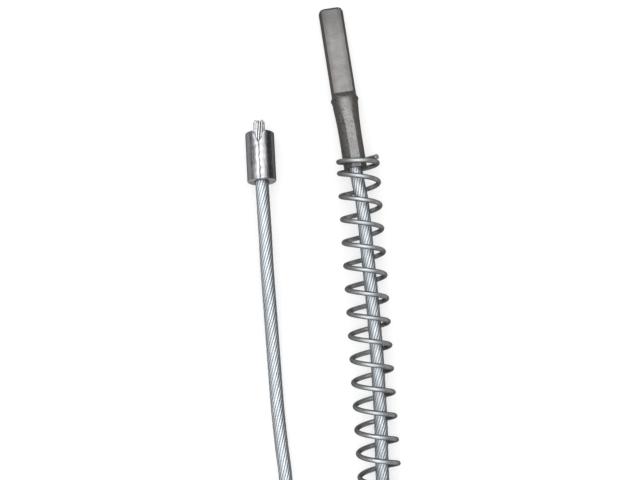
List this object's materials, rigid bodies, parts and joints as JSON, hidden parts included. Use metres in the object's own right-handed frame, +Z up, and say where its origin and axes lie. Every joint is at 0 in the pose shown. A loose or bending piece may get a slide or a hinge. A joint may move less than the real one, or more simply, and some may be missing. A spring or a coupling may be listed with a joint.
{
  "type": "parking brake cable",
  "caption": "Bare steel parking brake cable with a flat-sided tang fitting and return spring at one end, a crimped stop at the other, and its spare length tied in a coil.",
  "frame": {"origin": "on the table, under the middle of the fittings and the spring", "axes": "+Z up from the table that the cable lies on, +Y along the cable towards the tang, +X towards the spring's side"},
  "size_m": [0.0507, 0.1804, 0.0103],
  "materials": {
    "fitting_steel": "dull grey blasted steel, darker on the rounded sides",
    "spring_wire": "drawn spring wire, satin",
    "crimp_steel": "smooth crimped steel, polished by the dies along the seam",
    "strand_wire": "bright galvanised wires",
    "tie_plastic": "matt black"
  },
  "bodies": {
    "root": {"cable_coil": "strand_wire", "cable_end_in_fitting": "strand_wire", "cable_from_fitting": "strand_wire", "cable_from_stop": "strand_wire", "coil_tie_left": "tie_plastic", "coil_tie_right": "tie_plastic", "core_wire_01": "strand_wire", "middle_wire_01": "strand_wire", "middle_wire_02": "strand_wire", "middle_wire_03": "strand_wire", "middle_wire_04": "strand_wire", "middle_wire_05": "strand_wire", "middle_wire_06": "strand_wire", "outer_wire_01": "strand_wire", "outer_wire_02": "strand_wire", "outer_wire_03": "strand_wire", "outer_wire_04": "strand_wire", "outer_wire_05": "strand_wire", "outer_wire_06": "strand_wire", "outer_wire_07": "strand_wire", "outer_wire_08": "strand_wire", "outer_wire_09": "strand_wire", "outer_wire_10": "strand_wire", "outer_wire_11": "strand_wire", "outer_wire_12": "strand_wire", "return_spring": "spring_wire", "stop_ferrule": "crimp_steel", "tang_fitting": "fitting_steel"}
  },
  "joints": []
}
